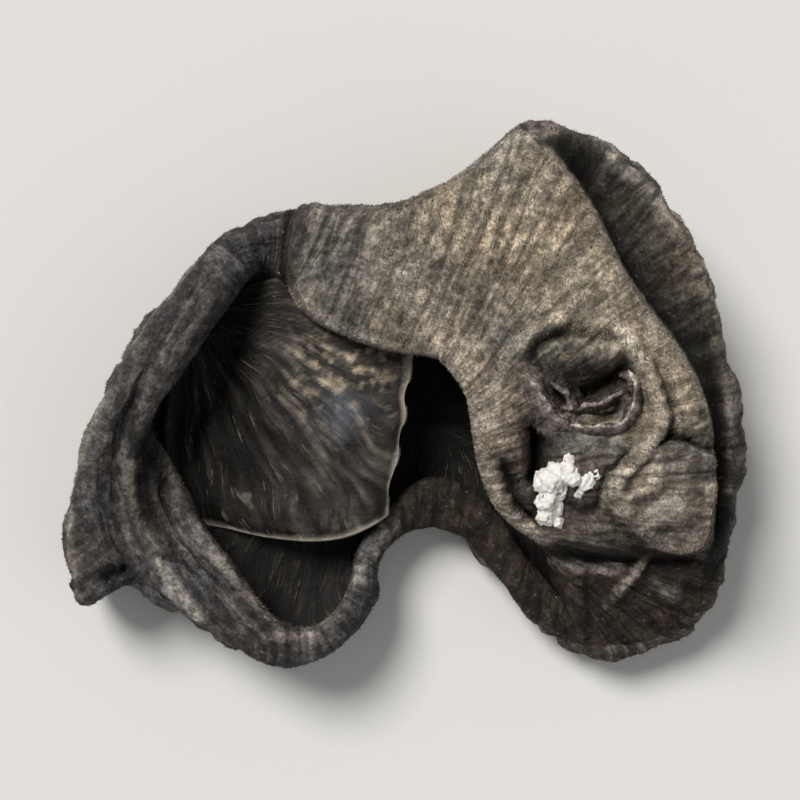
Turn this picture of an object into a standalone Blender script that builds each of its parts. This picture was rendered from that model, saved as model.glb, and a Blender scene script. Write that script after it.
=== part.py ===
"""Dried wood ear mushroom: one thin leathery sheet, curled into a cup on the west
side and folded over into a hood on the east side, with a tongue between the two.
Metres, +Z up. The origin is under the middle of the ear, on the surface it lies on."""
import bmesh
import bpy
import numpy as np

MM = 0.001

# Driving dimensions, in millimetres
SHEET_THICKNESS = 0.9
COLUMNS = 74                    # sections round the sheet
FLOOR_RINGS = 6                 # points along a section: on the floor, up the wall,
WALL_RINGS = 6                  # and over the upper face to the lip
UPPER_RINGS = 17
TONGUE_COLUMNS = 13
TONGUE_RINGS = 12
SCAR_CENTRE = (10.1, -5.1)
SCAR_TOP = 11.6                 # height of the flat cut face
SCAR_RADIUS = 1.9
SCAR_FLARE = 1.25               # foot of the stub against its cut face
SCAR_DEPTH = 3.0
SCAR_SIDES = 18
FOOTPRINT_MIDDLE = (-0.063, 0.275)      # the frame's origin, among the points below
MIDDLE = (0.5, -1.0, 1.2)       # where all the sections start, on the floor of the hollow
MIDDLE_OVAL = (9.0, 1.8)        # half-widths of the oval from which they fan out
FIRST_BEARING = 115.0           # degrees, of the first section's start on that oval
WALL_STARTS = 0.36              # share of a section at which the wall begins
UPPER_STARTS = 0.52             # and the upper face

# Shape of every section. Shares run from the start to the foot, or from the edge to the lip
FLOOR_POINTS = ((0.0, 1.1), (0.40, 0.8), (0.80, 0.5))       # share, height
FOOT_INSET = 3.6                # the foot stands at most this far inside the edge
FOOT_INSET_SHARE = 0.4          # or this share of the crest height
WALL_LOW = 0.14                 # heights on the wall, as shares of it
WALL_MIDDLE = 0.45
WALL_HIGH = 0.86
SHOULDER_INSET = 1.9            # the upper face begins this far inside the edge
SHOULDER_RISE = 0.5
FACE_POINTS = ((0.45, 0.38), (0.68, 0.66), (0.88, 0.90))    # share, drop from crest to lip
FACE_RISE = 0.4                 # fullness of the upper face
LIP_OVERHANG = 0.3
LIP_TUCK = 1.5                  # how far the lip turns down at most

# Sections of the sheet, clockwise seen from above. Each one is
# (edge x, edge y, lip x, lip y, crest height, lip height, lift of the foot)
HOOD = [
    (-6.2, 12.5, -6.8, 8.4, 8.9, 7.8, 1.4),
    (-1.8, 12.3, -4.9, 5.1, 10.2, 8.4, 0.6),
    (2.8, 13.9, -1.0, 3.8, 11.6, 9.2, 0.0),
    (8.0, 17.1, 2.2, 3.2, 13.0, 9.6, 0.2),
    (13.4, 15.6, 4.2, 1.6, 13.2, 9.8, 1.0),
    (17.3, 11.2, 5.5, 0.0, 12.6, 9.8, 1.8),
    (19.5, 5.6, 5.9, -2.0, 12.0, 9.6, 1.2),
    (21.0, 0.0, 6.2, -4.0, 11.4, 9.4, 0.2),
    (21.0, -5.0, 6.7, -5.9, 10.4, 9.0, 0.0),
    (20.5, -9.8, 7.6, -7.3, 8.4, 8.2, 0.5),
    (19.0, -13.6, 8.8, -8.4, 5.6, 6.8, 0.8),
    (15.2, -15.8, 10.0, -9.8, 4.4, 5.6, 0.3),
    (11.6, -15.6, 11.0, -12.8, 3.8, 4.2, 0.0),
]
BAY = [
    (7.8, -13.0, 8.0, -10.6, 3.0, 3.1, 0.0),
    (4.4, -9.0, 5.4, -6.6, 3.1, 3.2, 0.2),
    (0.8, -8.2, 1.2, -5.4, 3.2, 3.2, 0.3),
    (-1.4, -9.8, -2.7, -7.7, 3.8, 3.6, 0.3),
]
ROLLED_RIM = [
    (-2.1, -12.6, -4.8, -10.4, 5.0, 4.2, 0.3),
    (-4.6, -15.7, -6.8, -12.2, 5.8, 5.0, 0.0),
    (-8.6, -16.4, -9.0, -12.4, 6.4, 5.4, 0.2),
    (-12.6, -13.7, -11.4, -9.9, 7.0, 5.8, 0.9),
    (-17.0, -11.3, -14.0, -7.7, 6.8, 6.0, 1.3),
    (-20.4, -12.6, -15.8, -6.8, 6.6, 6.4, 0.6),
    (-21.1, -7.4, -16.2, -4.6, 7.8, 7.0, 0.0),
    (-19.6, -1.8, -15.3, -1.4, 8.6, 7.4, 0.0),
    (-16.8, 3.4, -12.9, 2.3, 8.8, 7.6, 0.5),
    (-13.3, 8.3, -10.4, 5.8, 8.4, 7.2, 1.2),
    (-9.9, 11.0, -9.4, 8.3, 7.6, 6.6, 1.8),
]

# Tongue, as rows from its root in the west to its free edge in the east,
# each from the north, under the hood, to the south
TONGUE = [
    [(-9.4, 10.0, 3.2), (-12.6, 5.4, 2.0), (-14.2, 0.0, 1.2), (-13.6, -5.0, 1.3), (-11.6, -8.2, 2.0)],
    [(-8.8, 10.2, 4.2), (-11.2, 5.6, 2.8), (-12.4, 0.0, 1.9), (-12.0, -5.0, 1.9), (-10.6, -8.4, 2.2)],
    [(-7.4, 10.8, 5.0), (-9.4, 5.8, 4.4), (-10.2, 0.0, 3.8), (-10.2, -4.8, 3.4), (-9.4, -8.7, 3.0)],
    [(-5.4, 11.4, 5.6), (-6.8, 6.2, 5.9), (-7.2, 0.4, 5.9), (-7.2, -4.4, 5.4), (-6.9, -8.9, 4.0)],
    [(-2.8, 11.6, 5.6), (-3.4, 6.0, 6.4), (-3.6, 0.2, 6.7), (-3.8, -4.2, 6.2), (-4.4, -9.0, 4.8)],
    [(0.0, 11.8, 5.4), (-0.2, 6.0, 6.4), (-0.8, 0.4, 7.1), (-1.0, -3.4, 6.8), (-2.2, -8.2, 5.6)],
    [(1.3, 12.0, 5.2), (1.1, 5.6, 6.2), (0.5, 1.4, 7.0), (0.1, -2.6, 6.9), (-1.0, -7.0, 5.8)],
]

# Folds drawn on the hood, seen from above
LINE_STEPS = 25
FLAP_RIDGE = [(8.4, 14.2), (12.4, 8.0), (16.3, 3.2), (18.5, -2.0), (18.6, -8.2)]
SADDLE_VALLEY = [(-6.0, 9.4), (0.0, 8.6), (5.0, 8.4), (9.4, 6.6)]
ARM_RIDGE = [(1.8, 5.0), (4.6, 2.6), (6.0, -1.4), (7.4, -6.0)]
FLAP_RISE = 0.7                 # height and width of each fold
FLAP_WIDTH = 1.6
FLAP_DROP = 1.2                 # fall beyond the flap's edge, and how far out it lies
FLAP_DROP_WIDTH = 1.7
FLAP_DROP_OFFSET = 2.6
VALLEY_DEPTH = 1.3
VALLEY_WIDTH = 2.6
ARM_RISE = 0.9
ARM_WIDTH = 1.3
PUCKER_PIT = (11.3, 1.5, 3.9, 3.5)      # centre x, y and half-widths
PIT_DEPTH = 2.6


def clear_scene():
    for item in list(bpy.data.objects):
        bpy.data.objects.remove(item, do_unlink=True)


def round_spline(rows, count):
    """Smooth closed run through the rows, sampled at count even steps."""
    rows = np.array(rows)
    place = np.arange(count) * len(rows) / count
    start = np.floor(place).astype(int)
    f = (place - start)[:, None]
    a, b, c, d = (rows[(start + step) % len(rows)] for step in (-1, 0, 1, 2))
    return b + 0.5 * f * (c - a + f * (2 * a - 5 * b + 4 * c - d + f * (3 * (b - c) + d - a)))


def clamped_spline(points, spots):
    """Cubic B-spline along the second axis of points, read at spots from 0 to 1."""
    first = points[:, :1]
    last = points[:, -1:]
    points = np.concatenate([first, first, points, last, last], axis=1)
    spans = points.shape[1] - 3
    place = spots * spans
    start = np.minimum(np.floor(place).astype(int), spans - 1)
    f = (place - start)[None, :, None]
    a, b, c, d = (points[:, start + step] for step in range(4))
    inner = (3 * f ** 3 - 6 * f ** 2 + 4) * b + (1 + 3 * f + 3 * f ** 2 - 3 * f ** 3) * c
    return ((1 - f) ** 3 * a + inner + f ** 3 * d) / 6


def section_points(rows):
    """Control points of each section: floor, foot, wall, crest, upper face and lip."""
    edge = rows[:, 0:2]
    lip = rows[:, 2:4]
    crest, lip_height, lift = rows[:, 4:5], rows[:, 5:6], rows[:, 6:7]
    bearings = np.radians(FIRST_BEARING - 360.0 * np.arange(len(rows)) / len(rows))
    middle = np.tile(MIDDLE[:2], (len(rows), 1))
    start = middle + np.stack([np.cos(bearings), np.sin(bearings)], axis=1) * MIDDLE_OVAL
    width = np.linalg.norm(lip - edge, axis=1, keepdims=True)
    inward = (lip - edge) / width
    foot = edge + inward * np.minimum(FOOT_INSET, crest * FOOT_INSET_SHARE)
    ground = SHEET_THICKNESS / 2 + lift
    wall = crest - ground
    points = [(middle, np.full_like(lift, MIDDLE[2]))]
    for share, height in FLOOR_POINTS:
        points.append((start + (foot - start) * share, height + lift * share))
    points.append((foot, ground))
    points.append((edge + inward * crest * 0.08, ground + wall * WALL_LOW))
    points.append((edge, ground + wall * WALL_MIDDLE))
    points.append((edge + inward * width * 0.02, ground + wall * WALL_HIGH))
    points.append((edge + inward * np.minimum(SHOULDER_INSET, width * 0.3), crest + SHOULDER_RISE))
    for share, drop in FACE_POINTS:
        height = crest * (1 - drop) + lip_height * drop + FACE_RISE + 0.5 * share
        points.append((edge + inward * width * share, height))
    points.append((lip + inward * LIP_OVERHANG, lip_height + 0.2))
    tuck = np.minimum(LIP_TUCK, (lip_height - 2.0) * 0.35)
    points.append((lip, lip_height - tuck))
    return np.stack([np.hstack(pair) for pair in points], axis=1)


def ease(low, high, value):
    """Smooth step from 0 at low to 1 at high."""
    share = np.clip((value - low) / (high - low), 0.0, 1.0)
    return share * share * (3 - 2 * share)


def beside_line(xy, line):
    """Distance to a smooth line, positive on its left, and the share of the way along it."""
    line = clamped_spline(np.array([line]), np.linspace(0.0, 1.0, LINE_STEPS))[0]
    nearest = np.full(len(xy), np.inf)
    signed = np.zeros(len(xy))
    along = np.zeros(len(xy))
    for step, (start, end) in enumerate(zip(line[:-1], line[1:])):
        run = end - start
        share = np.clip((xy - start) @ run / (run @ run), 0.0, 1.0)
        off = xy - start - share[:, None] * run
        distance = np.hypot(off[:, 0], off[:, 1])
        side = np.sign(run[0] * off[:, 1] - run[1] * off[:, 0])
        closer = distance < nearest
        nearest = np.where(closer, distance, nearest)
        signed = np.where(closer, distance * side, signed)
        along = np.where(closer, (step + share) / (len(line) - 1), along)
    return signed, along


def swell(distance, width):
    """Bell shape, 1 on the line and fading out past the width."""
    return np.exp(-(distance / width) ** 2)


def hood_relief(xy):
    """Height that the folds add to the upper face of the hood."""
    distance, along = beside_line(xy, FLAP_RIDGE)
    ends = ease(0.0, 0.18, along) * ease(1.0, 0.86, along)
    drop = FLAP_DROP * swell(distance - FLAP_DROP_OFFSET, FLAP_DROP_WIDTH)
    relief = ends * (FLAP_RISE * swell(distance, FLAP_WIDTH) - drop)
    distance, along = beside_line(xy, SADDLE_VALLEY)
    relief -= VALLEY_DEPTH * swell(distance, VALLEY_WIDTH) * ease(-0.1, 0.3, along)
    x, y, half_x, half_y = PUCKER_PIT
    reach = np.hypot((xy[:, 0] - x) / half_x, (xy[:, 1] - y) / half_y)
    relief -= PIT_DEPTH * ease(1.4, 0.2, reach)
    distance, along = beside_line(xy, ARM_RIDGE)
    relief += ARM_RISE * swell(distance, ARM_WIDTH) * ease(0.0, 0.2, along)
    return relief


def sheet_points():
    """Grid of points on the middle surface of the curled sheet."""
    spots = np.concatenate([
        np.linspace(0.0, WALL_STARTS, FLOOR_RINGS, endpoint=False),
        np.linspace(WALL_STARTS, UPPER_STARTS, WALL_RINGS, endpoint=False),
        np.linspace(UPPER_STARTS, 1.0, UPPER_RINGS),
    ])
    sections = section_points(round_spline(HOOD + BAY + ROLLED_RIM, COLUMNS))
    grid = clamped_spline(sections, spots)
    upper = ease(UPPER_STARTS - 0.05, UPPER_STARTS + 0.05, spots) * ease(1.0, 0.86, spots)
    hood_side = ease(-6.5, -4.5, grid[..., 0]) * ease(2.5, 4.5, grid[..., 2])
    relief = hood_relief(grid[..., :2].reshape(-1, 2)).reshape(grid.shape[:2])
    grid[..., 2] += relief * upper * hood_side
    return grid


def tongue_points():
    """Grid of points on the middle surface of the tongue."""
    rows = clamped_spline(np.array(TONGUE), np.linspace(0.0, 1.0, TONGUE_RINGS))
    rows = rows.transpose(1, 0, 2)
    return clamped_spline(rows, np.linspace(0.0, 1.0, TONGUE_COLUMNS))


def flesh_material():
    material = bpy.data.materials.new("dried_flesh")
    material.use_nodes = True
    shader = material.node_tree.nodes["Principled BSDF"]
    shader.inputs["Base Color"].default_value = (0.105, 0.088, 0.068, 1.0)
    shader.inputs["Roughness"].default_value = 0.85
    shader.inputs["Metallic"].default_value = 0.0
    return material


def loft(name, grid, closed, collection):
    """Open surface through a grid of points, thickened evenly to both sides."""
    columns, rings = grid.shape[:2]
    mesh = bpy.data.meshes.new(name)
    turns = columns if closed else columns - 1
    faces = []
    for column in range(turns):
        here = column * rings
        there = (column + 1) % columns * rings
        for ring in range(rings - 1):
            faces.append((here + ring, here + ring + 1, there + ring + 1, there + ring))
    mesh.from_pydata((grid.reshape(-1, 3) * MM).tolist(), [], faces)
    surface = bmesh.new()
    surface.from_mesh(mesh)
    bmesh.ops.remove_doubles(surface, verts=surface.verts, dist=0.01 * MM)
    bmesh.ops.recalc_face_normals(surface, faces=surface.faces)
    surface.to_mesh(mesh)
    surface.free()
    mesh.shade_smooth()
    item = bpy.data.objects.new(name, mesh)
    item.location = (-FOOTPRINT_MIDDLE[0] * MM, -FOOTPRINT_MIDDLE[1] * MM, 0.0)
    collection.objects.link(item)
    thick = item.modifiers.new("thickness", "SOLIDIFY")
    thick.thickness = SHEET_THICKNESS * MM
    thick.offset = 0.0
    return item


def scar_stub(collection):
    """Short stub with the flat face where the ear was cut from its wood."""
    mesh = bpy.data.meshes.new("scar_stub")
    stub = bmesh.new()
    bmesh.ops.create_cone(
        stub, cap_ends=True, segments=SCAR_SIDES, radius1=SCAR_RADIUS * SCAR_FLARE * MM,
        radius2=SCAR_RADIUS * MM, depth=SCAR_DEPTH * MM,
    )
    stub.to_mesh(mesh)
    stub.free()
    item = bpy.data.objects.new("scar_stub", mesh)
    item.location = (
        (SCAR_CENTRE[0] - FOOTPRINT_MIDDLE[0]) * MM,
        (SCAR_CENTRE[1] - FOOTPRINT_MIDDLE[1]) * MM,
        (SCAR_TOP - SCAR_DEPTH / 2) * MM,
    )
    collection.objects.link(item)
    return item


def join_to(target, tool):
    """Union of a hidden helper shape with the target."""
    tool.hide_render = True
    tool.display_type = "WIRE"
    union = target.modifiers.new(tool.name, "BOOLEAN")
    union.operation = "UNION"
    union.solver = "EXACT"
    union.object = tool


def build():
    clear_scene()
    parts = bpy.data.collections.new("dried_wood_ear")
    helpers = bpy.data.collections.new("joined_shapes")
    bpy.context.scene.collection.children.link(parts)
    bpy.context.scene.collection.children.link(helpers)
    ear = loft("wood_ear", sheet_points(), True, parts)
    ear.data.materials.append(flesh_material())
    join_to(ear, loft("tongue", tongue_points(), False, helpers))
    join_to(ear, scar_stub(helpers))


build()
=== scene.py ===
import math
import bmesh
import bpy
import numpy as np
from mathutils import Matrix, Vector


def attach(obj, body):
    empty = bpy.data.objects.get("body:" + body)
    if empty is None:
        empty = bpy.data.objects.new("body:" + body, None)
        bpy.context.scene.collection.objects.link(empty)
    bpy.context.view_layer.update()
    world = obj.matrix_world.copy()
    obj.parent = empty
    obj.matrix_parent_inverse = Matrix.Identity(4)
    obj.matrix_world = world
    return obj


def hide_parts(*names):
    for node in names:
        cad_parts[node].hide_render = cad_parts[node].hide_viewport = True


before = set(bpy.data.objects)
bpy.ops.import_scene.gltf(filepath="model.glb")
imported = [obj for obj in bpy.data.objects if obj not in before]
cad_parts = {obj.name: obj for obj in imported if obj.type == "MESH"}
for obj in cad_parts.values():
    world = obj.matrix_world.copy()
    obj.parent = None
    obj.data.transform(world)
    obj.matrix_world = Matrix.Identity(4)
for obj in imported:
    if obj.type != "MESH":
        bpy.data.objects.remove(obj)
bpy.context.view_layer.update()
mm = 0.001

# the points below are in millimetres from the middle of the ear's hollow; this moves them into the frame
frameShift = np.array([0.063, -0.275, 0.0])
lowest = 0.01       # no point comes nearer to the surface that the ear lies on
farAway = 99.0      # stands for any distance past a line's reach


# curves, distances and noise

def roundSpline(rows, place):
    rows = np.array(rows)
    start = np.floor(place).astype(int)
    f = (place - start)[:, None]
    a, b, c, d = (rows[(start + step) % len(rows)] for step in (-1, 0, 1, 2))
    return b + 0.5 * f * (c - a + f * (2 * a - 5 * b + 4 * c - d + f * (3 * (b - c) + d - a)))


def clampedSpline(points, spots):
    first, last = points[:, :1], points[:, -1:]
    points = np.concatenate([first, first, points, last, last], axis=1)
    spans = points.shape[1] - 3
    place = spots * spans
    start = np.minimum(np.floor(place).astype(int), spans - 1)
    f = (place - start)[None, :, None]
    a, b, c, d = (points[:, start + step] for step in range(4))
    inner = (3 * f ** 3 - 6 * f ** 2 + 4) * b + (1 + 3 * f + 3 * f ** 2 - 3 * f ** 3) * c
    return ((1 - f) ** 3 * a + inner + f ** 3 * d) / 6


def ease(low, high, value):
    share = np.clip((value - low) / (high - low), 0.0, 1.0)
    return share * share * (3 - 2 * share)


def swell(distance, width):
    return np.exp(-(distance / width) ** 2)


def unit(vectors):
    return vectors / np.maximum(np.linalg.norm(vectors, axis=-1, keepdims=True), 1e-9)


def stacked(x, y, z=0.0):
    return np.stack(np.broadcast_arrays(x, y, z), axis=-1)


def lengthAlong(run):
    return np.concatenate([[0], np.cumsum(np.linalg.norm(np.diff(run, axis=0), axis=1))])


# points at even shares of the length of a run
def evenly(run, shares):
    gone = lengthAlong(run)
    return np.stack([np.interp(shares * gone[-1], gone, run[:, axis]) for axis in range(run.shape[1])], axis=1)


def drawnLine(points, closed, steps=9):
    points = np.array(points, float)
    if closed:
        return np.vstack([roundSpline(points, np.arange(len(points) * steps) / steps), points[:1]])
    run = clampedSpline(points[None], np.linspace(0.0, 1.0, len(points) * steps * 4))[0]
    return evenly(run, np.linspace(0.0, 1.0, len(points) * steps))


# distance to a drawn line, positive on its left, and the share of the way along it
def beside(xy, points, closed=False, reach=6.0):
    line = drawnLine(points, closed)
    spots = xy.reshape(-1, 2)
    signed, along = np.full(len(spots), farAway), np.zeros(len(spots))
    low, high = line.min(0) - reach, line.max(0) + reach
    inReach = np.nonzero(np.all((spots > low) & (spots < high), axis=1))[0]
    near = spots[inReach]
    best = np.full(len(near), np.inf)
    side, share = np.ones(len(near)), np.zeros(len(near))
    for step, (start, end) in enumerate(zip(line[:-1], line[1:])):
        run = end - start
        t = np.clip((near - start) @ run / (run @ run), 0.0, 1.0)
        off = near - start - t[:, None] * run
        distance = np.hypot(off[:, 0], off[:, 1])
        closer = distance < best
        best = np.where(closer, distance, best)
        side = np.where(closer, np.sign(run[0] * off[:, 1] - run[1] * off[:, 0]), side)
        share = np.where(closer, (step + t) / (len(line) - 1), share)
    signed[inReach] = best * np.where(side == 0, 1, side)
    along[inReach] = share
    return signed.reshape(xy.shape[:-1]), along.reshape(xy.shape[:-1])


# 1 well inside a closed outline, 0 outside it
def within(xy, outline, edge, depth):
    distance, _ = beside(xy, outline, closed=True)
    return ease(edge, edge - depth, distance)


def nearLine(xy, line, width, offset=0.0):
    return swell(beside(xy, line)[0] - offset, width)


def softNoise(points, seed):
    chance = np.random.default_rng(seed)
    slopes = unit(chance.normal(size=(256, 3)))
    order = chance.permutation(256)
    cell = np.floor(points).astype(int)
    f = points - cell
    smooth = f ** 3 * (f * (f * 6 - 15) + 10)
    total = np.zeros(points.shape[:-1])
    for corner in np.ndindex(2, 2, 2):
        at = (cell + corner) & 255
        pick = order[(order[(order[at[..., 0]] + at[..., 1]) & 255] + at[..., 2]) & 255]
        share = np.prod(np.where(corner, smooth, 1 - smooth), axis=-1)
        total += share * np.sum(slopes[pick] * (f - corner), axis=-1)
    return total * 1.6


def roughNoise(points, seed, layers=3):
    total = 0
    for layer in range(layers):
        total = total + softNoise(points * 2.03 ** layer, seed + layer) * 0.5 ** layer
    return total


def sharpFolds(points, seed, layers=2):
    total = 0
    for layer in range(layers):
        total = total + (1 - 2 * np.abs(softNoise(points * 1.9 ** layer, seed + layer))) * 0.5 ** layer
    return total


# narrow creases with smooth cloth between them
def creases(points, stretch, shift, sharpness, seed):
    return np.maximum(0.0, 1 - sharpness * np.abs(softNoise(points * np.array(stretch) + shift, seed))) ** 1.5


# meshes and what their materials read from them

def newPiece(name, metres, faces, smooth=True):
    mesh = bpy.data.meshes.new(name)
    mesh.from_pydata(metres.tolist(), [], faces)
    if smooth:
        mesh.shade_smooth()
    item = bpy.data.objects.new(name, mesh)
    bpy.context.scene.collection.objects.link(item)
    return item


def addNotes(item, notes):
    for name, values in notes.items():
        if values.ndim == 1:
            made = item.data.attributes.new(name, "FLOAT", "POINT")
            made.data.foreach_set("value", values.astype(np.float32))
        else:
            made = item.data.attributes.new(name, "FLOAT_COLOR", "POINT")
            rgba = np.ones((len(values), 4), np.float32)
            rgba[:, :3] = values
            made.data.foreach_set("color", rgba.ravel())


def numbersOf(items, name, width=1):
    found = np.empty(len(items) * width)
    items.foreach_get(name, found)
    return found.reshape(-1, width) if width > 1 else found


def quadsBetween(here, after):
    return np.stack([here[:, :-1], here[:, 1:], after[:, 1:], after[:, :-1]], axis=-1).reshape(-1, 4)


def gridNormals(grid, closed):
    across = np.gradient(grid, axis=1)
    along = np.roll(grid, -1, 0) - np.roll(grid, 1, 0) if closed else np.gradient(grid, axis=0)
    return unit(np.cross(across, along))


def halfThickness(sheet, fromLip):
    lip = sheet["lipThickness"]
    return 0.5 * (lip + (sheet["thickness"] - lip) * ease(0.0, 2.5, fromLip))


tones = {
    "plain": (0.090, 0.078, 0.065),
    # painted highlight tones for lips and rims, partly their own paler felt
    "lipPaleHighlight": (0.370, 0.325, 0.270),
    "rimPaleHighlight": (0.200, 0.176, 0.152),
    "saddle": (0.180, 0.154, 0.122),
    # painted light on the saddle's northern part and painted shade at its west end
    "saddleLitNorth": (0.310, 0.262, 0.200),
    "saddleShadedEnd": (0.095, 0.086, 0.075),
    "band": (0.058, 0.054, 0.052),
    # the flap's own dark olive felt, darkened further as painted shade, and lighter towards its rim as painted
    # light
    "shadedFlap": (0.042, 0.037, 0.029),
    "flapRimLit": (0.112, 0.097, 0.078),
    "arm": (0.275, 0.232, 0.184),
    "armShade": (0.130, 0.095, 0.075),
    "lobe": (0.134, 0.113, 0.091),
    # the skirt's own dark brown, darkened further as painted shade for the low south-east
    "skirt": (0.027, 0.020, 0.015),
    "pit": (0.115, 0.100, 0.078),
    # painted shade for creases, slots and hollows
    "hollowShade": (0.010, 0.009, 0.008),
    "pucker": (0.205, 0.172, 0.158),
    "scarRing": (0.082, 0.067, 0.058),
    "greyPatch": (0.138, 0.133, 0.117),
    "under": (0.120, 0.102, 0.084),
    "inside": (0.022, 0.019, 0.016),
    # painted shade for the inner face under the hood and in the south
    "deepShade": (0.005, 0.0045, 0.004),
    "insideRim": (0.215, 0.190, 0.160),
    "fleck": (0.185, 0.150, 0.105),
    "blueSheen": (0.045, 0.050, 0.062),
}


def toneGrid(name, grid):
    return np.tile(np.array(tones[name]), grid.shape[:2] + (1,))


def mixTone(tone, name, share):
    return tone + (np.array(tones[name]) - tone) * np.clip(share, 0, 1)[..., None]


# the curled sheet

ear = {
    "columns": 530,
    "hoodColumns": 345,             # of these, on the hood's sections
    "hoodSections": (-1.0, 11.0),
    "outerRings": (9, 18, 122),     # over the floor, up the wall, over the upper face
    "innerRings": (8, 10, 20),
    "wallStarts": 0.36,             # share of the way from the middle to the lip
    "upperStarts": 0.52,
    "thickness": 0.75,
    "lipThickness": 0.36,
    "middle": (0.5, -1.0, 1.2),
    "middleOval": (9.0, 1.8),
    "firstBearing": 115.0,
    "floorPoints": ((0.0, 1.1), (0.40, 0.8), (0.80, 0.5)),      # share of the way to the foot, height
    "footInset": (3.6, 0.4),        # at most, share of the crest
    "wallLow": (0.08, 0.14),        # inward as a share of the crest, share of the wall's height
    "wallMiddle": 0.45,
    "wallHigh": (0.02, 0.86),
    "shoulder": (1.9, 0.3, 0.5),    # inward at most, share of the width, rise over the crest
    "facePoints": ((0.45, 0.38), (0.68, 0.66), (0.88, 0.9)),    # share of the width, of the fall to the lip
    "lipTuck": (1.1, 0.3),
    "foldEnds": 0.16,               # share of a fold's length over which it fades
    "skirtDrop": 1.1,
    "stepPasses": 10,
    "wallWave": 0.5,
    # depth, stretch, shift, sharpness, seed: wide upright, narrow upright, slack across
    "wallCreases": [
        (0.6, (0.17, 0.17, 0.045), 7.0, 2.6, 21),
        (0.3, (0.36, 0.36, 0.09), 3.0, 2.2, 22),
        (0.4, (0.2, 0.2, 0.42), 5.0, 2.0, 23),
    ],
    "lipFlutter": 0.45,
    "wrinkle": 0.13,
    "wallDrapes": 0.28,
    "floorDrapes": 0.3,
    "bandGrooves": 0.26,
    "veins": 0.16,
    "innerGround": 0.3,
    "ringRadius": 14.0,             # of a circle that stands for the lip, for creases that run away from it
    "grainAround": 19.0,
    "grainAlongRoll": 24.0,
    "paleFelt": 0.145,              # lightness from which it carries pale hairs
    "darkFelt": 0.025,
    # edge x, edge y, lip x, lip y, crest height, lip height, lift of the foot, clockwise
    "sections": [
        (-6.1, 12.3, -7.0, 8.0, 8.9, 8.0, 1.4),
        (-1.8, 12.2, -5.3, 5.6, 10.2, 8.5, 0.6),
        (2.8, 13.7, -1.2, 3.9, 11.6, 9.2, 0.0),
        (8.0, 17.0, 2.3, 3.2, 13.0, 9.5, 0.2),
        (13.4, 15.6, 3.9, 1.7, 13.2, 9.6, 1.0),
        (17.3, 11.2, 4.6, 0.0, 12.6, 9.6, 1.8),
        (19.5, 5.6, 4.9, -2.0, 12.0, 9.4, 1.2),
        (21.0, 0.0, 5.3, -4.0, 11.4, 9.2, 0.2),
        (21.0, -5.0, 6.1, -5.9, 10.4, 8.8, 0.0),
        (20.5, -9.8, 7.4, -7.4, 8.4, 8.0, 0.5),
        (19.0, -13.6, 8.8, -8.5, 5.6, 6.8, 0.8),
        (15.2, -15.8, 9.9, -10.2, 4.4, 5.6, 0.3),
        (11.6, -15.6, 10.6, -13.0, 3.8, 4.2, 0.0),
        (7.8, -13.0, 8.0, -10.2, 3.0, 3.3, 0.0),
        (4.4, -9.0, 5.2, -6.4, 2.9, 3.4, 0.2),
        (0.8, -8.2, 1.4, -5.2, 2.9, 3.4, 0.3),
        (-1.4, -9.8, -2.1, -8.9, 3.6, 3.8, 0.3),
        (-2.1, -12.6, -3.0, -12.1, 4.8, 4.8, 0.3),
        (-4.6, -15.7, -5.2, -14.4, 5.8, 5.6, 0.0),
        (-8.6, -16.4, -8.0, -13.9, 6.4, 6.1, 0.2),
        (-12.6, -13.7, -10.5, -10.8, 6.8, 6.5, 0.9),
        (-17.0, -11.3, -12.6, -8.0, 6.6, 6.6, 1.3),
        (-20.4, -12.6, -13.7, -5.8, 6.6, 6.6, 0.6),
        (-21.1, -7.4, -15.0, -3.6, 7.8, 6.4, 0.0),
        (-19.6, -1.8, -16.0, -1.0, 8.6, 7.4, 0.0),
        (-16.8, 3.4, -13.9, 2.4, 8.8, 7.8, 0.5),
        (-13.3, 8.3, -11.1, 6.5, 8.2, 7.2, 1.2),
        (-9.9, 11.0, -9.1, 8.9, 7.2, 6.6, 1.8),
    ],
}

# lines on the ear, seen from above
flapEdge = [(8.4, 15.0), (10.6, 12.6), (12.3, 9.0), (14.2, 5.8), (16.3, 3.4), (17.8, 0.8), (18.6, -2.2),
            (18.8, -5.4), (18.7, -9.0)]
armLine = [(1.6, 5.0), (3.9, 3.0), (5.3, 0.4), (5.9, -2.4), (6.7, -5.2), (8.3, -6.9)]
rollLine = [(-9.4, 9.8), (-11.0, 7.5), (-12.9, 4.7), (-15.0, 1.2), (-16.8, -2.2), (-17.3, -4.7), (-16.7, -7.5),
            (-15.1, -10.0), (-12.6, -13.0), (-10.0, -15.4)]
tipEdge = [(-5.2, 5.0), (-6.3, 6.8), (-6.8, 9.0), (-6.4, 11.0), (-5.8, 13.2)]
slot = [(8.1, -0.6), (8.15, -2.2), (8.2, -3.8), (8.0, -5.4)]
slit = [(16.9, -2.0), (17.6, -2.4), (18.5, -2.9)]
pitFloor = [(10.0, 0.5), (11.4, 0.8), (12.6, 1.4), (13.6, 2.4)]
ringRidge = [(12.4, 5.2), (13.8, 4.0), (14.8, 2.5), (15.5, 0.5), (15.9, -1.2), (15.0, -2.5), (13.7, -3.5),
             (12.6, -5.0), (12.2, -6.4)]
outerRidge = [(14.2, 4.6), (15.8, 2.6), (16.9, 0.4), (17.3, -1.4)]
skirtRib = [(15.4, -8.9), (14.5, -10.6), (13.0, -12.6)]
skirtGroove = [(9.4, -8.4), (12.0, -9.3), (14.6, -9.5), (17.4, -9.6)]
armHollow = [(6.2, -3.2), (6.6, -4.8), (7.4, -6.2), (8.6, -7.0)]
armLip = [(3.2, 2.9), (4.1, 1.1), (4.6, -1.2), (5.1, -3.4), (6.0, -5.6), (7.4, -7.1), (9.0, -8.1)]
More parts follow.
